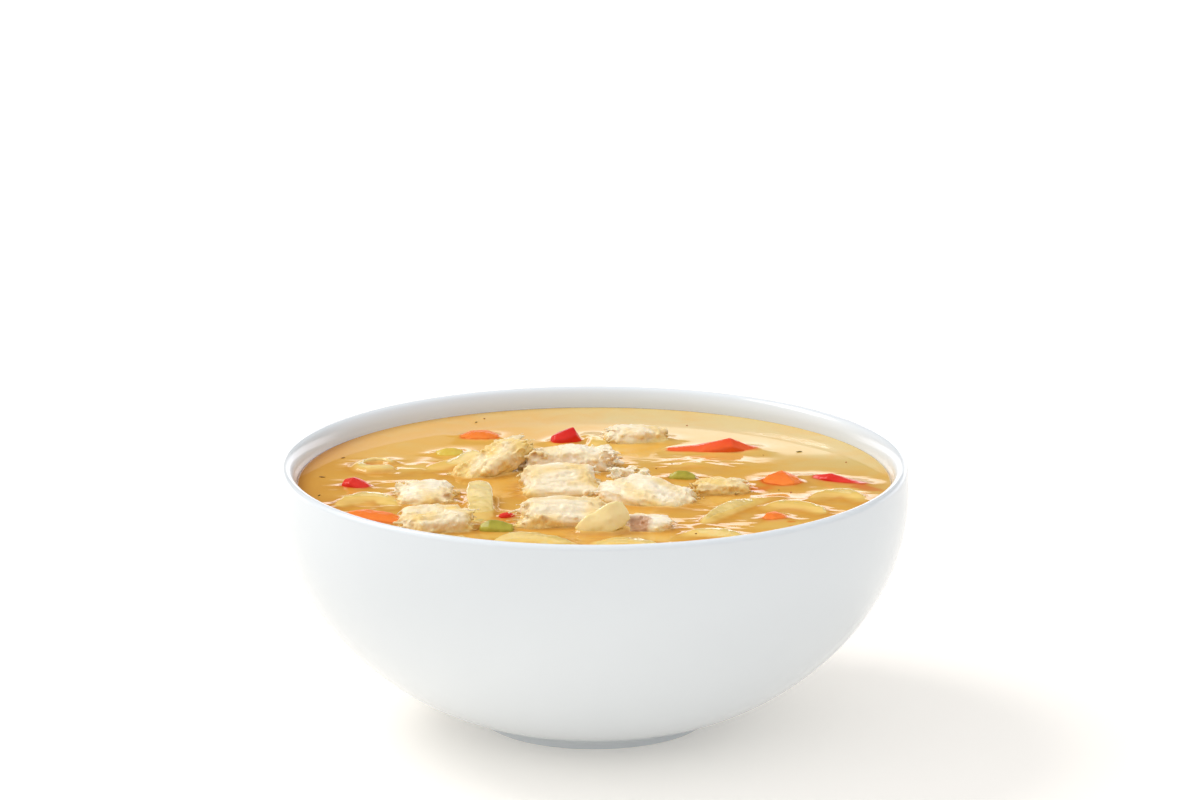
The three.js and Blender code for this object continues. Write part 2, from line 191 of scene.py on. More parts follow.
def add(tree, kind, values=None, **links):
    """Adds a node: values sets its attributes and its inputs, and links plugs sockets in."""
    node = tree.nodes.new(kind)
    for key, value in (values or {}).items():
        if isinstance(key, str) and hasattr(node, key):
            setattr(node, key, value)
        else:
            node.inputs[key].default_value = value
    for key, socket in links.items():
        name = int(key[1:]) if key[1:].isdigit() else key.replace("_", " ")
        tree.links.new(socket, node.inputs[name])
    return node


def rgba(colour):
    return (*colour, 1)


def new_material(name):
    """An empty material and its node tree, with an output that a shader plugs into."""
    material = bpy.data.materials.new(name)
    material.use_nodes = True
    material.node_tree.nodes.clear()
    return material, material.node_tree


def finish_material(tree, shader):
    add(tree, "ShaderNodeOutputMaterial", Surface=shader.outputs["BSDF"])


def millimetre_coordinates(tree):
    """The place on the object in millimetres, so that a pattern's scale is a real size."""
    place = add(tree, "ShaderNodeTexCoord").outputs["Object"]
    return add(tree, "ShaderNodeVectorMath", {"operation": "SCALE", "Scale": 1 / MM}, _0=place).outputs[0]


def hashed(cells, seed):
    """A repeatable number from -1 to 1 for each whole-numbered point."""
    primes = np.array([374761393, 668265263, 1440670441])
    mixed = (cells @ primes + seed * 974634777) & 0xFFFFFFFF
    mixed = ((mixed ^ (mixed >> 13)) * 1274126177) & 0xFFFFFFFF
    mixed = mixed ^ (mixed >> 16)
    return mixed / 0x7FFFFFFF - 1


def noise(points, size, seed):
    """Smooth noise from -1 to 1, whose lumps are about size across: one length, or one for each axis."""
    scaled = points / np.array(size, float)
    cell = np.floor(scaled).astype(np.int64)
    share = scaled - cell
    share = share * share * (3 - 2 * share)
    total = np.zeros(len(points))
    for corner in np.ndindex(2, 2, 2):
        weight = np.prod(np.where(np.array(corner) == 1, share, 1 - share), axis=1)
        total += weight * hashed(cell + np.array(corner), seed)
    return total


def rough(points, size, octaves, seed):
    """Noise with ever finer detail, from about -1 to 1."""
    layers = range(octaves)
    total = sum(noise(points, np.array(size) / 2**i, seed + i) / 2**i for i in layers)
    return total / sum(1 / 2**i for i in layers)


def rough_over(x, y, size, octaves, seed):
    """The same noise at each place of a level grid."""
    level_points = np.column_stack([x.ravel(), y.ravel(), np.zeros(x.size)])
    return rough(level_points, size, octaves, seed).reshape(x.shape)


def smooth_step(value, low, high):
    share = np.clip((value - low) / (high - low), 0, 1)
    return share * share * (3 - 2 * share)


def mesh_of(points, faces):
    """A mesh in metres, smoothly shaded, from points in millimetres."""
    mesh = bpy.data.meshes.new("piece")
    mesh.from_pydata((np.asarray(points) * MM).tolist(), [], [tuple(map(int, face)) for face in faces])
    mesh.polygons.foreach_set("use_smooth", np.ones(len(mesh.polygons), bool))
    mesh.update()
    return mesh


def paint(mesh, name, values):
    """Stores a number, or a colour with its weight, at each point of a mesh."""
    kind, key = ("FLOAT", "value") if values.ndim == 1 else ("FLOAT_COLOR", "color")
    attribute = mesh.attributes.new(name, kind, "POINT")
    attribute.data.foreach_set(key, np.ascontiguousarray(values, np.float32).ravel())


def put_in(name, mesh, material, slot, nodes):
    """Puts a finished mesh in the scene as a piece that stands for these nodes."""
    piece = bpy.data.objects.new(name, mesh)
    piece.data.materials.append(material)
    bpy.context.scene.collection.objects.link(piece)
    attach(piece, BODY)
    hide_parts(*nodes)
    return piece


def lathe(profile, segments):
    """Points and faces of a profile of (radius, height) turned round Z, from the axis back to the axis."""
    profile = np.asarray(profile, float)
    angles = np.arange(segments) * 2 * math.pi / segments
    ring = np.stack([np.cos(angles), np.sin(angles)], 1)
    inner = profile[1:-1]
    rows = [np.column_stack([ring * radius, np.full(segments, height)]) for radius, height in inner]
    points = np.vstack([[0, 0, profile[0][1]], *rows, [0, 0, profile[-1][1]]])
    last = len(points) - 1
    column = np.arange(segments)
    following = (column + 1) % segments
    faces = [(0, 1 + b, 1 + a) for a, b in zip(column, following)]
    for row in range(len(inner) - 1):
        base, above = 1 + row * segments, 1 + (row + 1) * segments
        faces += [(base + a, base + b, above + b, above + a) for a, b in zip(column, following)]
    top = 1 + (len(inner) - 1) * segments
    faces += [(top + a, top + b, last) for a, b in zip(column, following)]
    return points, faces


class WallCurve:
    """The bowl's outer wall: a curve from the foot ring up to the lip, as the porcelain was thrown."""

    ROOT = np.array([30.7, 3.3])
    ROOT_ANGLE = math.radians(9.3)
    ROOT_PULL = 14.2
    TOP_LEAN = math.radians(6)
    TOP_PULL = 36
    LIP_DROP = 1.4
    INNER_TOP = 0.955  # share of the curve where the inside starts to round over

    def __init__(self, settings):
        top = np.array([settings.rim_radius / MM, settings.height / MM - self.LIP_DROP])
        leaving = self.ROOT_PULL * np.array([math.cos(self.ROOT_ANGLE), math.sin(self.ROOT_ANGLE)])
        arriving = self.TOP_PULL * np.array([math.sin(self.TOP_LEAN), -math.cos(self.TOP_LEAN)])
        self.handles = [self.ROOT, self.ROOT + leaving, top + arriving, top]

    def point(self, share, inset=0):
        """A point of the curve, moved inwards at right angles to it."""
        a, b, c, d = self.handles
        rest = 1 - share
        place = rest**3 * a + 3 * rest**2 * share * b + 3 * rest * share**2 * c + share**3 * d
        along = rest**2 * (b - a) + 2 * rest * share * (c - b) + share**2 * (d - c)
        along = along / np.linalg.norm(along)
        return place + inset * np.array([-along[1], along[0]])


def rounded_down(start, end, count):
    """A quarter of an ellipse from a level start down to a steep end, without its start."""
    angles = np.linspace(0, math.pi / 2, count + 1)[1:]
    radii = start[0] + (end[0] - start[0]) * np.sin(angles)
    heights = end[1] + (start[1] - end[1]) * np.cos(angles)
    return list(zip(radii, heights))


def bowl_profile(settings):
    """The bowl's section, from the middle of its underside round the rim to the middle of its inside."""
    curve = WallCurve(settings)
    wall = settings.wall / MM
    foot = settings.foot_radius / MM
    foot_width, foot_edge, recess, floor_dip = 3.6, 0.6, 2.2, 0.4
    lip_top = np.array([settings.rim_radius / MM - 1.2, settings.height / MM])
    outside = [curve.point(share) for share in np.linspace(0, 1, 72)]
    inside = [curve.point(share, wall) for share in np.linspace(curve.INNER_TOP, 0, 64)]
    foot_bottom = [(foot - foot_width, 0), (foot - foot_edge, 0)]
    rounding = [
        (foot - foot_edge + foot_edge * math.sin(angle), foot_edge - foot_edge * math.cos(angle))
        for angle in np.linspace(0, math.pi / 2, 7)[1:]
    ]
    fillet = [
        (foot + (outside[0][0] - foot) * share**2.2, foot_edge + (outside[0][1] - foot_edge) * share**0.8)
        for share in np.linspace(0, 1, 8)[1:-1]
    ]
    lip = rounded_down(lip_top, outside[-1], 10)[::-1][1:]
    return [
        (0, recess),
        (foot - foot_width - 1.4, recess),
        (foot - foot_width - 0.3, 1.1),
        *foot_bottom,
        *rounding,
        *fillet,
        *outside,
        *lip,
        tuple(lip_top),
        *rounded_down(lip_top, inside[0], 14)[:-1],
        *inside,
        (0, inside[-1][1] - floor_dip),
    ]


def porcelain_material(settings):
    """Glazed porcelain, fired: a hard clear glaze over a white body, which gives a clean soft sheen."""
    material, tree = new_material("glazed porcelain")
    place = millimetre_coordinates(tree)
    clouds = add(tree, "ShaderNodeTexNoise", {"Scale": 1 / 28, "Detail": 2.0}, Vector=place)
    shade = add(tree, "ShaderNodeMapRange", {"To Min": 0.975, "To Max": 1.0}, Value=clouds.outputs[0])
    glaze = add(
        tree, "ShaderNodeMix",
        {"data_type": "RGBA", "blend_type": "MULTIPLY", 0: 1.0, 6: rgba(settings.glaze)},
        _7=shade.outputs[0],
    )
    waves = add(tree, "ShaderNodeTexNoise", {"Scale": 1 / 9, "Detail": 1.0}, Vector=place)
    relief = add(
        tree, "ShaderNodeBump", {"Strength": 0.06, "Distance": 0.4 * MM}, Height=waves.outputs[0]
    )
    shader = add(
        tree, "ShaderNodeBsdfPrincipled", {"Roughness": 0.12, "IOR": 1.5, "Specular IOR Level": 0.5},
        Base_Color=glaze.outputs[2], Normal=relief.outputs[0],
    )
    finish_material(tree, shader)
    return material


class SOUP_OT_make_bowl(bpy.types.Operator):
    """Makes the porcelain bowl on its foot ring"""

    bl_idname = "soup.make_bowl"
    bl_label = "Make bowl"

    def execute(self, context):
        settings = context.scene.soup_bowl
        points, faces = lathe(bowl_profile(settings), segments=288)
        put_in("porcelain_bowl", mesh_of(points, faces), porcelain_material(settings), "porcelain", ["bowl"])
        return {"FINISHED"}


def triangles_of(node):
    """A node's points in millimetres and its triangles."""
    mesh = frame["nodes"][node].data
    mesh.calc_loop_triangles()
    points = np.empty(len(mesh.vertices) * 3)
    mesh.vertices.foreach_get("co", points)
    triangles = np.empty(len(mesh.loop_triangles) * 3, int)
    mesh.loop_triangles.foreach_get("vertices", triangles)
    return points.reshape(-1, 3) / MM, triangles.reshape(-1, 3)


def remeshed(points, faces, voxel):
    """Closed shells fused on an even grid of voxel mm: points and four-sided faces."""
    mesh = bpy.data.meshes.new("draft")
    mesh.from_pydata(np.asarray(points).tolist(), [], [tuple(map(int, face)) for face in faces])
    draft = bpy.data.objects.new("draft", mesh)
    bpy.context.scene.collection.objects.link(draft)
    grid = draft.modifiers.new("Even grid", "REMESH")
    grid.mode = "VOXEL"
    grid.voxel_size = voxel
    evaluated = draft.evaluated_get(bpy.context.evaluated_depsgraph_get())
    result = evaluated.to_mesh()
    place = np.empty(len(result.vertices) * 3)
    result.vertices.foreach_get("co", place)
    corners = np.empty(len(result.loops), int)
    result.loops.foreach_get("vertex_index", corners)
    evaluated.to_mesh_clear()
    bpy.data.objects.remove(draft)
    bpy.data.meshes.remove(mesh)
    return place.reshape(-1, 3), corners.reshape(-1, 4)


def gathered(index, values, count):
    """The sum of the values that belong to each index."""
    return np.column_stack([np.bincount(index, column, count) for column in values.T])


def smoothed(points, faces, times):
    """The points once each has moved halfway to the middle of its neighbours, times over."""
    following = np.roll(faces, -1, axis=1)
    start = np.concatenate([faces, following]).ravel()
    end = np.concatenate([following, faces]).ravel()
    shares = np.bincount(start, minlength=len(points))[:, None]
    for _ in range(times):
        points = (points + gathered(start, points[end], len(points)) / shares) / 2
    return points


def normals_of(points, faces):
    """The direction that each point of a mesh of four-sided faces points in."""
    corners = points[faces]
    across = np.cross(corners[:, 2] - corners[:, 0], corners[:, 3] - corners[:, 1])
    summed = gathered(faces.ravel(), np.repeat(across, 4, axis=0), len(points))
    return summed / np.maximum(np.linalg.norm(summed, axis=1, keepdims=True), 1e-9)


def tube(path, radii, sides=6):
    """A closed tube along a path, which tapers as radii says: points and faces."""
    path = np.asarray(path, float)
    along = np.gradient(path, axis=0)
    along /= np.linalg.norm(along, axis=1, keepdims=True)
    side = np.cross(along, [0.31, 0.2, 0.93])
    side /= np.linalg.norm(side, axis=1, keepdims=True)
    up = np.cross(side, along)
    angles = np.arange(sides) * 2 * math.pi / sides
    rings = (
        path[:, None]
        + np.cos(angles)[None, :, None] * (side * radii[:, None])[:, None]
        + np.sin(angles)[None, :, None] * (up * radii[:, None])[:, None]
    )
    points = np.vstack([rings.reshape(-1, 3), path[:1], path[-1:]])
    start, end = len(points) - 2, len(points) - 1
    faces = []
    last = (len(path) - 1) * sides
    for i in range(sides):
        j = (i + 1) % sides
        faces += [(start, i, j), (end, last + j, last + i)]
        for row in range(0, last, sides):
            faces += [(row + i, row + sides + i, row + sides + j), (row + i, row + sides + j, row + j)]
    return points, faces


def joined(shells):
    """Several shells as one list of points and one of faces."""
    points, faces, count = [], [], 0
    for shell_points, shell_faces in shells:
        points.append(shell_points)
        faces += [tuple(int(i) + count for i in face) for face in shell_faces]
        count += len(shell_points)
    return np.vstack(points), faces


# How each piece of chicken is torn: the turn of its grain about Z and its lift in degrees, how
# crumbly its surface is and how yellow it is stained, from 0 to 1, and how many strands are frayed
# off its ends
CHICKEN = {
    "chicken_centre": (4, 2, 0.35, 0.15, 34),
    "chicken_centre_front": (3, -2, 0.6, 0.15, 34),
    "chicken_right": (-25, -11, 0.4, 0, 46),
    "chicken_centre_back": (8, -10, 1, 0, 40),
    "chicken_left": (-8, 3, 0.45, 0, 34),
    "chicken_front_left": (14, 0, 0.9, 0.3, 36),
    "chicken_spike": (34, 25, 0.9, 0.4, 60),
    "chicken_back": (12, -4, 0.7, 0.15, 34),
    "chicken_right_shred": (22, -3, 0.8, 0.4, 40),
    "chicken_front_right": (-3, -2, 0.3, 0, 10),
}
# Where the meat is browned inside: a place, with its height above the broth, how far it reaches and
# how brown it is
BROWNED = [
    (10.2, -45, 2.2, 3.8, 0.9),
    (-11.6, -43, 2.6, 1.1, 0.45),
    (-35.2, -20, 1.6, 1.5, 0.4),
    (-37.4, -22.6, 1.4, 1, 0.4),
]
# Where shreds of meat are heaped at the edge of a piece: the piece, and a place with its height
# above the broth and how far the heap reaches
HEAPS = [
    ("chicken_right", 5.6, -7.4, 3.2, 2),
    ("chicken_right", 8.6, -7.8, 4.4, 1.8),
    ("chicken_right", 12, -9, 4.2, 1.4),
    ("chicken_centre_back", 3.6, 6.6, 4.6, 2),
    ("chicken_centre_back", -13.6, 7.6, 4.2, 1.8),
    ("chicken_spike", -21, 9.4, 6, 1.6),
    ("chicken_left", -46, -14, 1.6, 1.6),
]

SHREDS = 26  # in a heap
STRAND_LENGTHS = (2.5, 6.5)  # mm, the shortest and the longest frayed strand
UNFRAYED = 2.2  # mm at a piece's foot, which the broth hides
FIRST_GRID = 0.6  # mm, for the solid alone
FINE_GRID = 0.28  # mm, for the solid with all that is fused to it


def heaped(node, level, settings, random):
    """Short shreds of meat heaped where the piece was torn off its neighbour."""
    for x, y, height, reach in [heap[1:] for heap in HEAPS if heap[0] == node]:
        for _ in range(SHREDS):
            middle = np.array([x, y, level + height]) + random.normal(0, 0.5, 3) * reach
            along = random.normal(0, 1, 3) * [1, 1, 0.7]
            along *= random.uniform(0.5, 1.6) / np.linalg.norm(along)
            radii = settings.crumb / MM * random.uniform(0.6, 1.2) * np.array([0.5, 1, 1, 0.7, 0.4])
            yield tube(middle + np.linspace(-1, 1, 5)[:, None] * along, radii)


def crumbs(base, normals, edge, settings, count, random):
    """Crumbs of meat that hang on where a piece is broken off."""
    chance = np.clip(edge, 0, None) ** 1.5 + 1e-4
    radius = settings.crumb / MM
    for pick in random.choice(len(base), count, p=chance / chance.sum()):
        size = radius * random.uniform(0.45, 1.1)
        middle = base[pick] + normals[pick] * size * random.uniform(-0.1, 0.6)
        along = random.normal(0, 1, 3)
        along *= size * random.uniform(0.6, 1.2) / np.linalg.norm(along)
        path = middle + np.linspace(-1, 1, 4)[:, None] * along
        yield tube(path, size * np.array([0.5, 1, 0.9, 0.45]))


def frayed(base, local, axes, settings, count, random):
    """Strands of meat that come off a piece's ends and edges along its grain."""
    reach = np.abs(local[:, 0]).max()
    side = np.abs(local[:, 0]) > 0.66 * reach
    ends = np.flatnonzero(side & (base[:, 2] > base[:, 2].min() + UNFRAYED))
    for pick in random.choice(ends, count):
        towards = np.sign(local[pick, 0])
        length = random.uniform(*STRAND_LENGTHS)
        steps = np.linspace(-0.55, 0.45, 10)
        bend = random.normal(0, 0.6, 3) * [1, 1, 0.5]
        path = base[pick] + np.outer(steps * length * towards, axes[0]) + np.outer(steps**2, bend) * length
        path[:, 2] -= 0.6 * np.clip(steps, 0, None) * length * random.uniform(0, 1)
        radii = settings.strand / MM * random.uniform(0.7, 1.3) * np.linspace(1.1, 0.5, 10)
        yield tube(path, radii)


def torn(node, level, settings, seed):
    """A piece of torn chicken: its solid with crumbs and frayed strands, fused and given its grain."""
    turn, lift, crumbly, _, strands = CHICKEN[node]
    random = np.random.default_rng(seed)
    solid, triangles = triangles_of(node)
    axes = np.array(Euler((0, math.radians(-lift), math.radians(turn)), "XYZ").to_matrix()).T
    middle = (solid.min(0) + solid.max(0)) / 2
    base, quads = remeshed(solid, triangles, FIRST_GRID)
    base = smoothed(base, quads, 5)
    normals = normals_of(base, quads)
    edge = ((base - smoothed(base, quads, 14)) * normals).sum(1)
    local = (base - middle) @ axes.T
    count = int(len(base) * (0.006 + 0.024 * crumbly))
    shells = [
        (base, quads),
        *crumbs(base, normals, edge, settings, count, random),
        *frayed(base, local, axes, settings, strands, random),
        *heaped(node, level, settings, random),
    ]
    points, quads = remeshed(*joined(shells), FINE_GRID)
    points = smoothed(points, quads, 2)
    normals = normals_of(points, quads)
    local = (points - middle) @ axes.T
    local[:, 1] += 1.1 * noise(local, 8, seed)
    bundles = np.abs(noise(local, (9, 2.6, 2.6), seed + 21)) - 0.3
    fibres = rough(local, (5, 1.1, 1.1), 2, seed + 11)
    fine = noise(local, (2.2, 0.55, 0.55), seed + 31)
    lumps = noise(points, 0.8, seed + 41) * smooth_step(noise(points, 4, seed + 51), -0.7, 0.4)
    clods = crumbly * rough(points, 3, 2, seed + 61)
    grain = settings.grain / MM
    height = grain * (3.4 * bundles + 1.3 * fibres + 0.7 * fine + (0.9 + crumbly) * lumps + 3.4 * clods)
    points = points + normals * height[:, None]
    below_top = solid[:, 2].max() - 1
    over = np.clip(points[:, 2] - below_top, 0, None)
    points[:, 2] += np.tanh(over) - over
    # How deep each point lies in a crease, which the meat's painted shade follows
    rounded = smoothed(points, quads, 8)
    hollow = ((rounded - points) * normals).sum(1)
    return points, quads, hollow


def browned_share(points, level):
    """How browned the meat is at each point, from 0 to 1."""
    share = np.zeros(len(points))
    for x, y, height, reach, most in BROWNED:
        away = np.linalg.norm(points - [x, y, level + height], axis=1) / reach
        share = np.maximum(share, most * (1 - smooth_step(away + 0.3 * rough(points, 1.5, 2, 77), 0.5, 1.1)))
    return share


def chicken_material(settings):
    """Cooked breast meat, torn by hand: dull moist strands, stained yellow where broth soaks in, with painted
    shade in its creases.
    """
    material, tree = new_material("poached chicken breast")
    place = millimetre_coordinates(tree)
    soaked, deep, browned = [
        add(tree, "ShaderNodeAttribute", {"attribute_name": name}).outputs["Fac"]
        for name in ("soaked", "deep", "browned")
    ]
    stained = add(
        tree, "ShaderNodeMix",
        {"data_type": "RGBA", 6: rgba(settings.meat), 7: rgba(settings.stain)}, _0=soaked,
    )
    mottle = add(tree, "ShaderNodeTexNoise", {"Scale": 1 / 1.6, "Detail": 3.0}, Vector=place)
    speckle = add(
        tree, "ShaderNodeMapRange", {"From Min": 0.3, "From Max": 0.7, "To Min": 0.9, "To Max": 1.04},
        Value=mottle.outputs[0],
    )
    mottled = add(
        tree, "ShaderNodeMix", {"data_type": "RGBA", "blend_type": "MULTIPLY", 0: 1.0},
        _6=stained.outputs[2], _7=speckle.outputs[0],
    )
    colour = mottled.outputs[2]
    # The colour goes to the painted shade in the creases, then to the browned meat
    for share, shade in ((deep, settings.shadow), (browned, settings.browned)):
        mix = add(tree, "ShaderNodeMix", {"data_type": "RGBA", 7: rgba(shade)}, _0=share, _6=colour)
        colour = mix.outputs[2]
    grain = add(tree, "ShaderNodeTexNoise", {"Scale": 1 / 0.5, "Detail": 2.0}, Vector=place)
    relief = add(tree, "ShaderNodeBump", {"Strength": 0.35, "Distance": 0.25 * MM}, Height=grain.outputs[0])
    shader = add(
        tree, "ShaderNodeBsdfPrincipled",
        {
            "Roughness": 0.5, "IOR": 1.4, "Specular IOR Level": 0.35,
            "Subsurface Weight": 0.25, "Subsurface Radius": (1.0, 0.7, 0.4), "Subsurface Scale": 1.5 * MM,
            "Coat Weight": 0.35, "Coat Roughness": 0.2,
        },
        Base_Color=colour, Normal=relief.outputs[0],
    )
    finish_material(tree, shader)
    return material


class SOUP_OT_make_chicken(bpy.types.Operator):
    """Makes the torn pieces of chicken"""

    bl_idname = "soup.make_chicken"
    bl_label = "Make chicken"

    def execute(self, context):
        settings = context.scene.soup_chicken
        level = context.scene.soup_broth.level / MM
        material = chicken_material(settings)
        for seed, node in enumerate(CHICKEN):
            points, quads, hollow = torn(node, level, settings, 40 + seed)
            patches = smooth_step(rough(points, 5.5, 2, 70 + seed), -0.3, 0.5)
            low = 1 - smooth_step(points[:, 2], level + 0.1, level + 2.2)
            # Painted shade in the creases
            deep = smooth_step(hollow, 0.06, 0.4)
            mesh = mesh_of(points, quads)
            paint(mesh, "soaked", np.clip(0.55 * low + 0.7 * patches + CHICKEN[node][3], 0, 1))
            paint(mesh, "deep", 0.7 * deep)
            paint(mesh, "browned", browned_share(points, level))
            put_in("torn_" + node, mesh, material, "chicken", [node])
        return {"FINISHED"}


def uneven_solid(node, voxel, smoothing, height, size, seed):
    """A node's solid on a fine even grid, its facets smoothed away and its surface made uneven."""
    points, quads = remeshed(*triangles_of(node), voxel)
    points = smoothed(points, quads, smoothing)
    lift = height * rough(points, size, 3, seed)
    return points + normals_of(points, quads) * lift[:, None], quads


def food_material(name, body, edge, finish, bump):
    """A cooked food whose colour goes to that of its softened edges where it is thin or wet."""
    material, tree = new_material(name)
    place = millimetre_coordinates(tree)
    worn = add(tree, "ShaderNodeAttribute", {"attribute_name": "worn"}).outputs["Fac"]
    mottle = add(tree, "ShaderNodeTexNoise", {"Scale": 1 / 1.8, "Detail": 3.0}, Vector=place)
    mixed = add(
        tree, "ShaderNodeMath", {"operation": "MULTIPLY_ADD", 1: 0.5, "use_clamp": True},
        _0=mottle.outputs[0], _2=worn,
    )
    colour = add(
        tree, "ShaderNodeMix", {"data_type": "RGBA", 6: rgba(body), 7: rgba(edge)}, _0=mixed.outputs[0]
    )
    size, strength = bump
    grain = add(tree, "ShaderNodeTexNoise", {"Scale": 1 / size, "Detail": 2.0}, Vector=place)
    relief = add(
        tree, "ShaderNodeBump", {"Strength": strength, "Distance": 0.2 * MM}, Height=grain.outputs[0]
    )
    shader = add(
        tree, "ShaderNodeBsdfPrincipled", finish, Base_Color=colour.outputs[2], Normal=relief.outputs[0]
    )
    finish_material(tree, shader)
    return material


def noodle_material(settings):
    """Egg noodle, rolled, cut and boiled: soft, smooth and wet, a little see-through at its edges."""
    finish = {
        "Roughness": 0.3, "IOR": 1.42, "Specular IOR Level": 0.45,
        "Subsurface Weight": 0.35, "Subsurface Radius": (1.0, 0.75, 0.35), "Subsurface Scale": 2.5 * MM,
        "Coat Weight": 1.0, "Coat Roughness": 0.06,
    }
    return food_material("boiled egg noodle", settings.dough, settings.edge, finish, (1.5, 0.4))


# What the simmered vegetables share: a thin film of broth over soft flesh
WET = {"IOR": 1.4, "Specular IOR Level": 0.25, "Coat Weight": 0.12, "Coat Roughness": 0.05}
SOFT = {**WET, "Subsurface Weight": 0.2, "Subsurface Scale": 1.2 * MM}


def pepper_material(name, skin, flesh):
    """Pepper, diced and simmered: a taut glossy skin over softer flesh."""
    finish = {**WET, "Roughness": 0.25}
    return food_material(name, skin, flesh, finish, (1.2, 0.15))


def carrot_material(settings):
    """Carrot, diced and simmered: a fine wet grain."""
    finish = {**SOFT, "Roughness": 0.35, "Subsurface Radius": (1.0, 0.45, 0.15)}
    return food_material("simmered carrot", settings.carrot, settings.carrot_edge, finish, (0.7, 0.25))


def celery_material(name, stalk, edge):
    """Celery, sliced and simmered: a wet stalk, see-through at its edges."""
    finish = {**SOFT, "Roughness": 0.3, "Subsurface Radius": (0.7, 1.0, 0.3)}
    return food_material(name, stalk, edge, finish, (0.9, 0.2))


def edge_wear(points, seed):
    """How far each point of a small piece is towards its worn edges, from 0 to 1."""
    middle = points.mean(0)
    low, high = points.min(0), points.max(0)
    share = np.abs(points - middle) / ((high - low) / 2)
    corner = np.sort(share, axis=1)[:, 1]
    return np.clip(0.7 * smooth_step(corner, 0.45, 0.95) + 0.25 * rough(points, 2, 2, seed), 0, 1)


def put_small_piece(node, material, voxel, smoothing, height, size, seed):
    """Makes a noodle or a diced vegetable from its own solid, and paints where it is worn and soaked."""
    level = bpy.context.scene.soup_broth.level / MM
    points, quads = uneven_solid(node, voxel, smoothing, height, size, seed)
    soaked = 1 - smooth_step(points[:, 2], level + 0.3, level + 4)
    mesh = mesh_of(points, quads)
    paint(mesh, "worn", np.clip(0.35 * edge_wear(points, seed) + 0.8 * soaked - 0.1, 0, 1))
    put_in("soup_" + node, mesh, material, node.split("_")[0], [node])


# How each kind of small piece is worked: the grid in mm, how often it is smoothed, the height and the
# size in mm of its unevenness, and its first seed
SMALL_PIECES = {
    "noodle": (0.3, 9, 0.4, 3.4, 200),
    "pepper": (0.22, 7, 0.16, 2.4, 300),
    "carrot": (0.24, 4, 0.12, 1.6, 330),
    "celery": (0.24, 5, 0.12, 1.8, 360),
}
# The pieces that are riper or paler than the rest of their kind
ORANGE_PEPPER = "pepper_strip_back"
PALE_CELERY = "celery_left"


def put_small_pieces(kind, usual, unusual):
    """Makes all pieces of a kind of the usual material, but for those that unusual gives another."""
    *work, first_seed = SMALL_PIECES[kind]
    nodes = [node for node in NODES if node.startswith(kind)]
    for seed, node in enumerate(nodes, first_seed):
        put_small_piece(node, unusual.get(node, usual), *work, seed)


class SOUP_OT_make_noodles(bpy.types.Operator):
    """Makes the egg noodles"""

    bl_idname = "soup.make_noodles"
    bl_label = "Make noodles"

    def execute(self, context):
        put_small_pieces("noodle", noodle_material(context.scene.soup_noodle), {})
        return {"FINISHED"}


class SOUP_OT_make_vegetables(bpy.types.Operator):
    """Makes the red pepper, carrot and celery"""

    bl_idname = "soup.make_vegetables"
    bl_label = "Make vegetables"

    def execute(self, context):
        colours = context.scene.soup_vegetable
        red = pepper_material("simmered red pepper", colours.pepper, colours.pepper_edge)
        orange = pepper_material("simmered orange pepper", colours.orange_pepper, colours.orange_edge)
        carrot = carrot_material(colours)
        green = celery_material("simmered celery", colours.celery, colours.celery_edge)
        pale = celery_material("simmered celery heart", colours.pale_celery, colours.pale_edge)
        put_small_pieces("pepper", red, {ORANGE_PEPPER: orange})
        put_small_pieces("carrot", carrot, {})
        put_small_pieces("celery", green, {PALE_CELERY: pale})
        return {"FINISHED"}


def disc_grid(radius, count):
    """A square grid pressed into a disc, row by row: its X and Y."""
    u, v = np.meshgrid(np.linspace(-1, 1, count + 1), np.linspace(-1, 1, count + 1), indexing="ij")
    return radius * u * np.sqrt(1 - v * v / 2), radius * v * np.sqrt(1 - u * u / 2)


def neighbours(values):
    """Four grids, with what lies on each side of each value of a grid."""
    padded = np.pad(values, 1, mode="edge")
    return padded[:-2, 1:-1], padded[2:, 1:-1], padded[1:-1, :-2], padded[1:-1, 2:]


def blurred(values, times):
    """A grid of values, each mixed with its neighbours."""
    for _ in range(times):
        values = (4 * values + sum(neighbours(values))) / 8
    return values


def widened(values, times):
    """A grid of values, each raised to the highest of its neighbours."""
    for _ in range(times):
        values = np.maximum.reduce([values, *neighbours(values)])
    return values


def body_colour(name):
    """The colour of a piece as it shows through the broth over it."""
    scene = bpy.context.scene
    vegetable = scene.soup_vegetable
    if ORANGE_PEPPER in name:
        return vegetable.orange_pepper
    if PALE_CELERY in name:
        return vegetable.pale_celery
    shades = {
        "chicken": scene.soup_chicken.stain,
        "noodle": scene.soup_noodle.edge,
        "pepper": vegetable.pepper,
        "carrot": vegetable.carrot,
        "celery": vegetable.celery,
    }
    return next(shade for kind, shade in shades.items() if kind in name)


OVER_THE_BROTH = 12  # mm over it, from where a ray looks down on what lies there
DOWN = Vector((0, 0, -1))


def surface_of(piece):
    """A piece's points in millimetres and a tree that finds places on its surface."""
    points = np.array([vertex.co for vertex in piece.data.vertices]) / MM
    faces = [tuple(polygon.vertices) for polygon in piece.data.polygons]
    return points, BVHTree.FromPolygons(points.tolist(), faces)


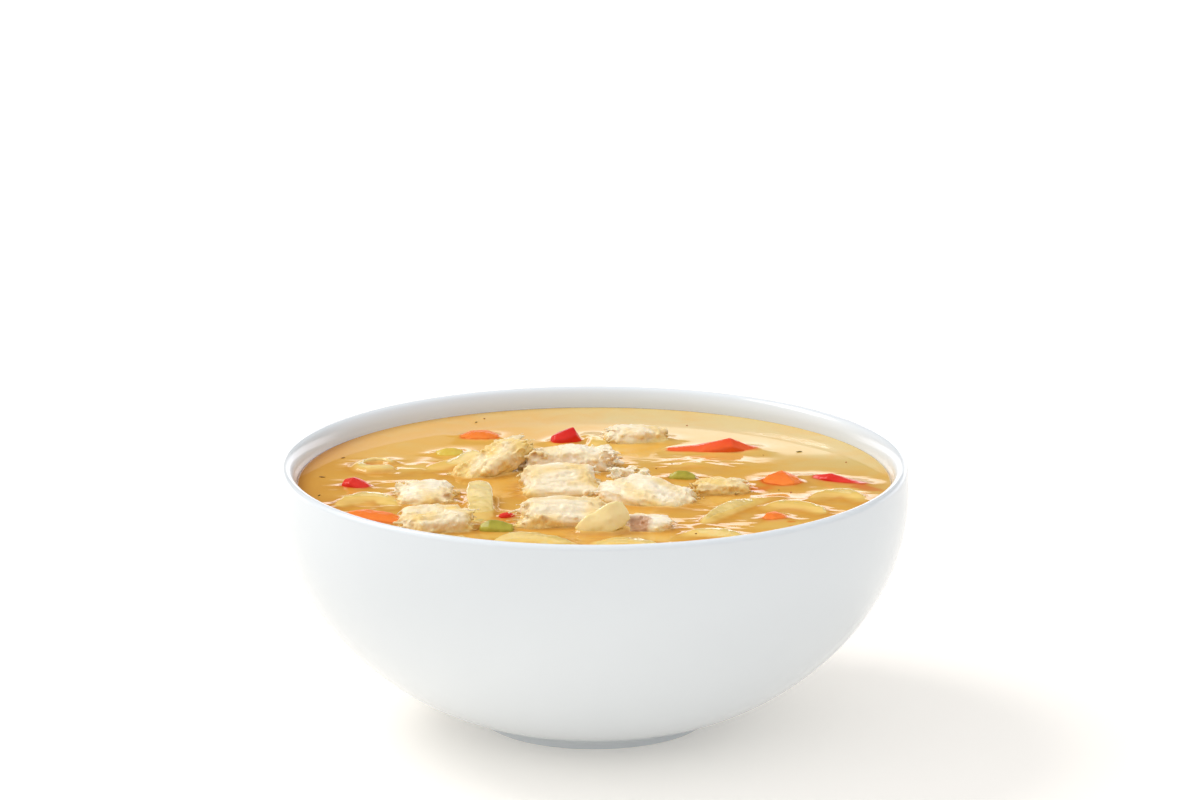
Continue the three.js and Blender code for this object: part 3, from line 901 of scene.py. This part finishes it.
def food_round(x, y, level):
    """For each place on the broth, how far the nearest food is, and of the food under or over it
    the top, the colour, whether it is chicken and whether it is a vegetable."""
    far = 99.0  # mm, further off than anything in the bowl
    distance = np.full(x.shape, far)
    top = np.full(x.shape, -far)
    colour = np.zeros((*x.shape, 3))
    meat = np.zeros(x.shape, bool)
    vegetable = np.zeros(x.shape, bool)
    margin = 6  # mm round a piece, beyond which the broth takes no notice of it
    lifted = Vector((0, 0, OVER_THE_BROTH))
    for piece in [o for o in bpy.context.scene.objects if o.name.startswith(("torn_", "soup_"))]:
        place, tree = surface_of(piece)
        low, high = place.min(0) - margin, place.max(0) + margin
        near = (x > low[0]) & (x < high[0]) & (y > low[1]) & (y < high[1])
        shade = body_colour(piece.name)
        for i, j in np.argwhere(near):
            spot = Vector((x[i, j], y[i, j], level))
            away = tree.find_nearest(spot)[3]
            hit = tree.ray_cast(spot + lifted, DOWN)[0]
            if hit is not None and hit.z > top[i, j]:
                top[i, j] = hit.z
                colour[i, j] = shade
                meat[i, j] = "chicken" in piece.name
                vegetable[i, j] = not meat[i, j] and "noodle" not in piece.name
            if hit is not None and hit.z > level:
                away = 0
            distance[i, j] = min(distance[i, j], away)
    return distance, top, colour, meat, vegetable


# The broth swells by a slope of this much on either side of a line across the bowl, which stands
# this many mm behind the middle
SWELL = 0.0045
SWELL_CREST = 23
SWELL_ROUNDING = 4  # mm from the crest, within which the slope turns over
WALL_CLIMB = 0.18  # mm that the broth climbs up the bowl's wall
WALL_CLIMB_WIDTH = 1.1  # mm
SLOW_WAVES = 0.008  # mm, the height of the widest unevenness
SHIVER = 0.15  # mm, the height of the unevenness near the food
SHIVER_REACH = 3.2  # mm from the food
CALM = (4, 30)  # mm behind the middle, from where to where the broth grows calm
VEGETABLE_COVER = 0.35  # share of the broth's cover that stays on a vegetable
SEEN_THROUGH = 0.7  # mm of broth, through which a piece shows about a third of its colour
MEAT_SEEN_THROUGH = 0.4  # mm, the same for the chicken
WALL_SHADE_WIDTH = 5  # mm from the wall, over which the broth turns darker with painted shade
SHADED_WIDTH = 2.6  # mm from the food, over which the broth turns darker with painted shadow
INTO_WALL = 0.05  # mm that the broth reaches into the bowl's wall, so that no gap shows

# Where the broth bulges over what is just below it: the middle, the half length, the half width,
# the turn in degrees and the height
BULGES = [
    (24.6, 18, 9, 5, -2, 0.32),
    (34, 16, 6, 4, -8, 0.2),
    (29, -44, 8, 4, 8, 0.3),
    (47.5, -19.5, 8, 3.2, -6, 0.24),
    (28.2, -25.5, 7, 2.6, 58, 0.24),
    (38.5, -17, 6, 3, 0, 0.22),
    (53, 3.4, 5, 2, -8, 0.25),
    (-54, -16, 5, 2.2, 14, 0.25),
    (-56.5, -24, 7, 1.8, -22, 0.2),
    (-45.5, -3.5, 5, 2, -8, 0.3),
    (-2.5, -52.5, 8, 2.4, 2, 0.2),
    (-28, -40.5, 5, 2, 4, 0.2),
]

# What is wholly sunk in the broth and only shows through it: its kind, its middle, its half length
# and half width, its turn in degrees and how strongly it shows
SUNK = [
    ("carrot", -40.6, 14.6, 4, 2.6, 10, 0.6),
    ("carrot", -53.2, 12, 2.8, 2, 0, 0.6),
    ("pepper", -52.6, 11, 1.4, 0.7, 30, 0.6),
    ("carrot", 38.4, -8.6, 6, 3, 8, 0.5),
    ("carrot", 47.5, -39, 4, 2.6, -20, 0.4),
    ("noodle", -44.6, 12.2, 5.5, 4.5, 40, 0.35),
    ("noodle", 58.5, -10.5, 7, 4, -14, 0.6),
    ("noodle", 43.5, -39.5, 7, 3.4, 12, 0.45),
    ("noodle", 13, -50.6, 9, 3.4, 4, 0.4),
    ("noodle", -14, -26.5, 4, 6, 8, 0.35),
    ("noodle", -31.5, -34, 4, 4, 0, 0.35),
    ("noodle", 28, -19, 6, 4, 20, 0.3),
    ("noodle", -56, -19, 5, 3, 0, 0.35),
    ("noodle", 4, 33, 5, 8, 0, 0.4),
    ("noodle", -22, -48.5, 6, 3, 0, 0.3),
    ("pepper", 66, -8, 4.5, 1.8, -24, 0.4),
]


def along_and_across(x, y, middle_x, middle_y, half_length, half_width, turn):
    """Each place as shares of a turned shape's half length and half width."""
    cosine, sine = math.cos(math.radians(turn)), math.sin(math.radians(turn))
    along = ((x - middle_x) * cosine + (y - middle_y) * sine) / half_length
    across = ((y - middle_y) * cosine - (x - middle_x) * sine) / half_width
    return along, across


def bulging(x, y):
    """How far the broth bulges at each place over what is just below it."""
    height = np.zeros(x.shape)
    for seed, (*oval, most) in enumerate(BULGES):
        along, across = along_and_across(x, y, *oval)
        uneven = 0.5 * rough_over(x, y, (5, 2.2, 3), 2, 700 + seed)
        height += most * np.exp(-along**2 - across**2) * (1 + uneven)
    return height


def sunk_tints(x, y):
    """The colour and the strength with which sunk pieces show at each place on the broth."""
    colour = np.zeros((*x.shape, 3))
    strength = np.zeros(x.shape)
    for seed, (kind, *oval, most) in enumerate(SUNK):
        along, across = along_and_across(x, y, *oval)
        uneven = 0.35 * rough_over(x, y, 3.5, 2, 600 + seed)
        share = most * (1 - smooth_step(np.hypot(along, across) + uneven, 0.45, 1.25))
        stronger = share > strength
        colour[stronger] = body_colour(kind)
        strength = np.maximum(strength, share)
    return colour, strength


def broth_material(settings):
    """Creamy chicken broth, simmered: cloudy and golden, with a wet surface that mirrors the light; painted
    shade darkens it by the wall and round the food, and a painted sheen makes it paler towards the back
    right.
    """
    material, tree = new_material("creamy golden broth")
    place = millimetre_coordinates(tree)
    creamy = add(tree, "ShaderNodeAttribute", {"attribute_name": "creamy"}).outputs["Fac"]
    swirls = add(tree, "ShaderNodeTexNoise", {"Scale": 1 / 9, "Detail": 3.0, "Distortion": 0.5}, Vector=place)
    swirled = add(
        tree, "ShaderNodeMapRange", {"From Min": 0.3, "From Max": 0.7, "To Min": -0.3, "To Max": 0.3},
        Value=swirls.outputs[0],
    )
    # The painted sheen towards the back right, varied by the broth's own cream swirls
    share = add(
        tree, "ShaderNodeMath", {"operation": "ADD", "use_clamp": True}, _0=creamy, _1=swirled.outputs[0]
    )
    base = add(
        tree, "ShaderNodeMix", {"data_type": "RGBA", 6: rgba(settings.golden), 7: rgba(settings.cream)},
        _0=share.outputs[0],
    )
    # clear is painted shade: darker amber by the wall and round the food
    clear = add(tree, "ShaderNodeAttribute", {"attribute_name": "clear"}).outputs["Fac"]
    darker = add(
        tree, "ShaderNodeMix", {"data_type": "RGBA", 7: rgba(settings.amber_shade)}, _0=clear, _6=base.outputs[2]
    )
    food = add(tree, "ShaderNodeAttribute", {"attribute_name": "food"})
    tinted = add(
        tree, "ShaderNodeMix", {"data_type": "RGBA"},
        _0=food.outputs["Alpha"], _6=darker.outputs[2], _7=food.outputs["Color"],
    )
    shader = add(
        tree, "ShaderNodeBsdfPrincipled", {"Roughness": 0.05, "IOR": 1.35}, Base_Color=tinted.outputs[2]
    )
    finish_material(tree, shader)
    return material


def closed_below(surface, side):
    """The broth's surface with its side and bottom, as points and faces. surface is a square grid of
    points, and side the profile of the bowl's inside, from its middle up to the surface."""
    across, along = surface.shape[:2]
    index = np.arange(across * along).reshape(across, along)
    points = [surface.reshape(-1, 3)]
    faces = np.stack([index[:-1, :-1], index[1:, :-1], index[1:, 1:], index[:-1, 1:]], -1).reshape(-1, 4)
    faces = faces.tolist()
    upper = np.array([*index[:, 0], *index[-1, 1:], *index[-2::-1, -1], *index[0, -2:0:-1]])
    rim = points[0][upper]
    ring = rim[:, :2] / np.linalg.norm(rim[:, :2], axis=1, keepdims=True)
    count = index.size
    for radius, height in side[::-1]:
        points.append(np.column_stack([ring * radius, np.full(len(ring), height)]))
        lower = count + np.arange(len(ring))
        faces += zip(upper, lower, np.roll(lower, -1), np.roll(upper, -1))
        upper = lower
        count += len(ring)
    points.append([[0, 0, side[0][1]]])
    faces += [(a, count, b) for a, b in zip(upper, np.roll(upper, -1))]
    return np.vstack(points), faces


def broth_surface(x, y, radius, settings):
    """The height of the broth at each place, and the colour with its weight that shows through it."""
    level = settings.level / MM
    distance, top, colour, meat, vegetable = food_round(x, y, level)
    climb = settings.cling / MM * np.exp(-distance / (settings.cling_width / MM))
    climb *= 0.35 + 0.65 * smooth_step(rough_over(x, y, (7, 5, 5), 1, 4) + x / 90, -0.45, 0.3)
    covered = settings.cover / MM * np.where(vegetable, VEGETABLE_COVER, 1)
    cover = np.where(meat, 0, np.clip(top + settings.film / MM - level, 0, covered))
    cover *= smooth_step(top - level, -0.1, 0.35)
    raised = np.maximum(blurred(climb, 2), blurred(widened(cover, 1), 4))
    at_wall = WALL_CLIMB * np.exp(-(radius - np.hypot(x, y)) / WALL_CLIMB_WIDTH)
    swell = SWELL * (SWELL_ROUNDING - np.hypot(y - SWELL_CREST, SWELL_ROUNDING))
    calm = 1 - 0.9 * smooth_step(y, *CALM)
    slow = SLOW_WAVES * rough_over(x, y, (24, 9, 9), 2, 5)
    near = np.exp(-((distance / SHIVER_REACH) ** 2))
    shiver = SHIVER * rough_over(x, y, (7, 2.8, 4), 2, 8) * near
    z = level + raised + at_wall + swell + slow + calm * shiver + bulging(x, y)
    depth = np.clip(z - top, 0, None)
    seen_through = np.where(meat, MEAT_SEEN_THROUGH, SEEN_THROUGH)
    weight = blurred(np.where(top > 0, np.exp(-depth / seen_through), 0), 2)
    shade = np.dstack([blurred(colour[..., i] * (top > 0), 2) for i in range(3)])
    shade /= np.maximum(blurred((top > 0).astype(float), 2), 1e-6)[..., None]
    sunk_colour, sunk = sunk_tints(x, y)
    total = 1 - (1 - weight) * (1 - sunk)
    mixed = shade * weight[..., None] + sunk_colour * (total - weight)[..., None]
    return z, distance, np.dstack([mixed / np.maximum(total, 1e-6)[..., None], total])


class SOUP_OT_make_broth(bpy.types.Operator):
    """Makes the broth, which lies over and clings to everything in it. It is made last."""

    bl_idname = "soup.make_broth"
    bl_label = "Make broth"

    def execute(self, context):
        settings = context.scene.soup_broth
        bowl = context.scene.soup_bowl
        curve = WallCurve(bowl)
        level = settings.level / MM
        inset = bowl.wall / MM - INTO_WALL
        side = [curve.point(share, inset) for share in np.linspace(0, curve.INNER_TOP, 40)]
        side = [place for place in side if place[1] < level + 0.5]
        radius = side[-1][0]
        x, y = disc_grid(radius, count=300)
        z, distance, tint = broth_surface(x, y, radius, settings)
        points, faces = closed_below(np.dstack([x, y, z]), side[:-1])
        mesh = mesh_of(points, faces)
        hidden = len(points) - x.size
        uneven = 12 * rough_over(x, y, 20, 2, 9)
        # Painted sheen: paler towards the back right, where the broth mirrors the bright wall
        creamy = smooth_step(0.55 * x + 0.75 * y + 0.7 * uneven, 16, 68)
        from_wall = radius - np.hypot(x, y)
        # Painted shade: the broth darkened by the wall on the left and front left, the side in shade
        amber_shade = np.exp(-from_wall / WALL_SHADE_WIDTH) * smooth_step(-x - 0.5 * y + uneven, 20, 60)
        # Painted shadow: the broth darkened round the food in the front half
        shaded = 0.75 * np.exp(-distance / SHADED_WIDTH) * (1 - smooth_step(y, 0, 30))
        # clear holds all of this painted shade, which the material mixes towards the amber colour
        clear = np.clip(0.9 * amber_shade + shaded, 0, 1)
        paint(mesh, "creamy", np.concatenate([creamy.ravel(), np.zeros(hidden)]))
        paint(mesh, "clear", np.concatenate([clear.ravel(), np.ones(hidden)]))
        paint(mesh, "food", np.vstack([tint.reshape(-1, 4), np.zeros((hidden, 4))]))
        put_in("golden_broth", mesh, broth_material(settings), "broth", ["broth"])
        return {"FINISHED"}


SPECKS = 20  # small herbs that only the scene has
SPECK_LENGTHS = (0.3, 0.7)  # mm, the shortest and the longest
HERBS_REACH = 68  # mm from the middle, within which herbs float
HIGHEST_HERB = 0.9  # mm over the broth, above which a herb would lie on food


def herb_places(level):
    """Where the frame's flakes of herb lie on the broth: their middles, lengths and turns."""
    stands_out = 0.12  # mm over the broth, from where a point is a flake's
    flake_reach = 3.4  # mm, within which points are those of one flake
    points = triangles_of("broth")[0]
    points = points[points[:, 2] > level + stands_out]
    while len(points):
        near = np.linalg.norm(points[:, :2] - points[0, :2], axis=1) < flake_reach
        flake = points[near, :2]
        middle = (flake.min(0) + flake.max(0)) / 2
        spread = flake - middle
        furthest = spread[np.linalg.norm(spread, axis=1).argmax()]
        yield middle, 2 * np.linalg.norm(furthest), math.atan2(furthest[1], furthest[0])
        points = points[~near]


def herb_flake(middle, length, turn, height, random):
    """A curled shred of dried leaf that lies on the broth."""
    steps = np.linspace(-0.5, 0.5, 9)
    curl = random.uniform(-0.35, 0.35)
    along = np.array([math.cos(turn), math.sin(turn)])
    aside = np.array([-along[1], along[0]])
    path = middle + np.outer(steps, along) * length + np.outer(steps**2 * curl, aside) * length
    rise = height + 0.1 + 0.5 * np.abs(steps) ** 2 * random.uniform(-0.4, 1)
    thickness = 0.15 * (1.15 - 2 * np.abs(steps)) * random.uniform(0.7, 1.1) * min(1.4, 0.35 + length / 2)
    return tube(np.column_stack([path, rise]), thickness + 0.03)


def herb_material(settings):
    """Dried herbs, rubbed: dark dull shreds, green, brown and red."""
    material, tree = new_material("dried herbs")
    kind = add(tree, "ShaderNodeAttribute", {"attribute_name": "kind"}).outputs["Fac"]
    brown, red = [
        add(
            tree, "ShaderNodeMapRange",
            {"From Min": low, "From Max": high, "interpolation_type": "SMOOTHSTEP"}, Value=kind,
        )
        for low, high in ((0.3, 0.6), (0.7, 0.8))
    ]
    dull = add(
        tree, "ShaderNodeMix", {"data_type": "RGBA", 6: rgba(settings.leaf), 7: rgba(settings.stalk)},
        _0=brown.outputs[0],
    )
    colour = add(
        tree, "ShaderNodeMix", {"data_type": "RGBA", 7: rgba(settings.flake)},
        _0=red.outputs[0], _6=dull.outputs[2],
    )
    shader = add(
        tree, "ShaderNodeBsdfPrincipled", {"Roughness": 0.5, "IOR": 1.4}, Base_Color=colour.outputs[2]
    )
    finish_material(tree, shader)
    return material


class SOUP_OT_make_herbs(bpy.types.Operator):
    """Makes the dried herbs on the broth"""

    bl_idname = "soup.make_herbs"
    bl_label = "Make herbs"

    def execute(self, context):
        random = np.random.default_rng(900)
        level = context.scene.soup_broth.level / MM
        tree = surface_of(bpy.data.objects["golden_broth"])[1]
        specks = [
            (random.uniform(-64, 64, 2), random.uniform(*SPECK_LENGTHS), random.uniform(0, math.pi))
            for _ in range(SPECKS)
        ]
        flakes, kinds = [], []
        for middle, length, turn in [*herb_places(level), *specks]:
            hit = tree.ray_cast(Vector((*middle, level + OVER_THE_BROTH)), DOWN)[0]
            if np.hypot(*middle) > HERBS_REACH or hit is None or hit.z > level + HIGHEST_HERB:
                continue
            flakes.append(herb_flake(middle, length, turn, hit.z, random))
            kinds.append(np.full(len(flakes[-1][0]), random.uniform(0, 1)))
        mesh = mesh_of(*joined(flakes))
        paint(mesh, "kind", np.concatenate(kinds))
        put_in("dried_herbs", mesh, herb_material(context.scene.soup_herb), "broth", ["broth"])
        return {"FINISHED"}


# The height, as a share of the direction's length, to which the bright wall behind the bowl reaches
WALL_TOP = math.sin(math.radians(14.78))
# How light changes with direction: the axis, from where to where along it, what it goes from and to
# there, and how
RAMPS = {
    "left": ("X", 0.4, -0.85, 0, 1, "SMOOTHSTEP"),
    "higher": ("Z", 0, 0.55, 0.15, 1.5, "SMOOTHSTEP"),
    "overhead": ("Z", 0.45, 0.85, 0, 1, "SMOOTHSTEP"),
    "rightwards": ("X", -0.035, 0.025, 0, 1, "SMOOTHSTEP"),
    "upwards": ("Z", 0.19, 0.24, 0, 1, "LINEAR"),
    "above wall": ("Z", WALL_TOP - 0.0015, WALL_TOP + 0.0015, 0, 1, "LINEAR"),
    "behind": ("Y", 0.35, 0.7, 0, 1, "SMOOTHSTEP"),
}
DIM_ROOM = (0.66, 0.68, 0.705, 1)
BRIGHT_ROOM = (1.12, 1.12, 1.11, 1)
# How the light is put together: the name, the ramp that leads over, and what it leads from and to,
# each a colour or what was mixed before
LIGHTS = [
    ("wall's upper part", "rightwards", (0.5, 0.44, 0.3, 1), (1.6, 1.55, 1.46, 1)),
    ("wall", "upwards", (1.98, 1.95, 2.02, 1), "wall's upper part"),
    ("far side", "above wall", "wall", (0.13, 0.11, 0.08, 1)),
    ("all round", "behind", "room", "far side"),
    ("sky", "overhead", "all round", (0.95, 0.95, 0.97, 1)),
]


def studio_world(scene):
    """Even light from all round, with a bright wall low behind the bowl that the broth mirrors."""
    world = bpy.data.worlds.new("studio")
    scene.world = world
    world.use_nodes = True
    tree = world.node_tree
    tree.nodes.clear()
    direction = add(tree, "ShaderNodeTexCoord").outputs["Generated"]
    axes = add(tree, "ShaderNodeSeparateXYZ", Vector=direction)
    ramps = {}
    for name, (axis, low, high, first, last, way) in RAMPS.items():
        limits = {"From Min": low, "From Max": high, "To Min": first, "To Max": last}
        ramp = add(
            tree, "ShaderNodeMapRange", {"interpolation_type": way, **limits}, Value=axes.outputs[axis]
        )
        ramps[name] = ramp.outputs[0]
    room = add(tree, "ShaderNodeMix", {"data_type": "RGBA", 6: DIM_ROOM, 7: BRIGHT_ROOM}, _0=ramps["left"])
    lit_room = add(
        tree, "ShaderNodeMix", {"data_type": "RGBA", "blend_type": "MULTIPLY", "clamp_result": False, 0: 1.0},
        _6=room.outputs[2], _7=ramps["higher"],
    )
    lights = {"room": lit_room.outputs[2]}
    for name, ramp, *sides in LIGHTS:
        colours = {6 + i: side for i, side in enumerate(sides) if side not in lights}
        mixed = {f"_{6 + i}": lights[side] for i, side in enumerate(sides) if side in lights}
        mix = add(tree, "ShaderNodeMix", {"data_type": "RGBA", **colours}, _0=ramps[ramp], **mixed)
        lights[name] = mix.outputs[2]
    background = add(tree, "ShaderNodeBackground", Color=lights["sky"])
    add(tree, "ShaderNodeOutputWorld", Surface=background.outputs[0])


class SOUP_OT_set_stage(bpy.types.Operator):
    """Sets the floor, the light and the camera"""

    bl_idname = "soup.set_stage"
    bl_label = "Set stage"

    def execute(self, context):
        scene = context.scene
        settings = scene.soup_stage
        scene.view_settings.view_transform = "Standard"
        studio_world(scene)

        half = 4 / MM
        corners = [(-half, -half, 0), (half, -half, 0), (half, half, 0), (-half, half, 0)]
        floor = bpy.data.objects.new("floor", mesh_of(corners, [(0, 1, 2, 3)]))
        material, tree = new_material("backlit white acrylic")
        shader = add(
            tree, "ShaderNodeBsdfPrincipled",
            {
                "Base Color": rgba(settings.floor), "Roughness": 0.8, "Specular IOR Level": 0.2,
                "Emission Color": (1.0, 0.98, 0.955, 1), "Emission Strength": 0.22,
            },
        )
        finish_material(tree, shader)
        floor.data.materials.append(material)
        scene.collection.objects.link(floor)

        sun = bpy.data.lights.new("key", "SUN")
        sun.energy = 1.15
        sun.angle = math.radians(26)
        sun.color = (1.0, 0.98, 0.95)
        key = bpy.data.objects.new("key", sun)
        key.rotation_euler = Vector((-0.62, 0.35, 0.8)).to_track_quat("Z", "Y").to_euler()
        scene.collection.objects.link(key)

        camera = bpy.data.cameras.new("camera")
        camera.lens = settings.lens
        camera.sensor_width = 36
        viewer = bpy.data.objects.new("camera", camera)
        aside = 1.4 * MM
        viewer.location = (
            aside,
            -settings.distance * math.cos(settings.elevation),
            settings.distance * math.sin(settings.elevation),
        )
        viewer.rotation_euler = (math.pi / 2 - settings.pitch, 0, 0)
        scene.collection.objects.link(viewer)
        scene.camera = viewer
        return {"FINISHED"}


class SOUP_PT_panel(bpy.types.Panel):
    """Lists the makers and their settings"""

    bl_idname = "SOUP_PT_panel"
    bl_label = "Bowl of soup"
    bl_space_type = "VIEW_3D"
    bl_region_type = "UI"
    bl_category = "Soup"

    def draw(self, context):
        for group, operator in PANEL_ROWS:
            box = self.layout.box()
            settings = getattr(context.scene, group)
            for name in settings.__annotations__:
                box.prop(settings, name)
            box.operator(operator)


SETTINGS = {
    "soup_bowl": BowlSettings,
    "soup_chicken": ChickenSettings,
    "soup_noodle": NoodleSettings,
    "soup_vegetable": VegetableSettings,
    "soup_broth": BrothSettings,
    "soup_herb": HerbSettings,
    "soup_stage": StageSettings,
}
OPERATORS = (
    SOUP_OT_make_bowl,
    SOUP_OT_make_chicken,
    SOUP_OT_make_noodles,
    SOUP_OT_make_vegetables,
    SOUP_OT_make_broth,
    SOUP_OT_make_herbs,
    SOUP_OT_set_stage,
)
PANEL_ROWS = [(group, operator.bl_idname) for group, operator in zip(SETTINGS, OPERATORS)]


def register():
    for settings in SETTINGS.values():
        bpy.utils.register_class(settings)
    for name, settings in SETTINGS.items():
        setattr(bpy.types.Scene, name, bpy.props.PointerProperty(type=settings))
    for operator in OPERATORS:
        bpy.utils.register_class(operator)
    bpy.utils.register_class(SOUP_PT_panel)


def unregister():
    bpy.utils.unregister_class(SOUP_PT_panel)
    for operator in reversed(OPERATORS):
        bpy.utils.unregister_class(operator)
    for name in SETTINGS:
        delattr(bpy.types.Scene, name)
    for settings in reversed(SETTINGS.values()):
        bpy.utils.unregister_class(settings)


def main():
    register()
    bpy.ops.soup.make_bowl()
    bpy.ops.soup.make_chicken()
    bpy.ops.soup.make_noodles()
    bpy.ops.soup.make_vegetables()
    bpy.ops.soup.make_broth()
    bpy.ops.soup.make_herbs()
    bpy.ops.soup.set_stage()


if __name__ == "__main__":
    main()
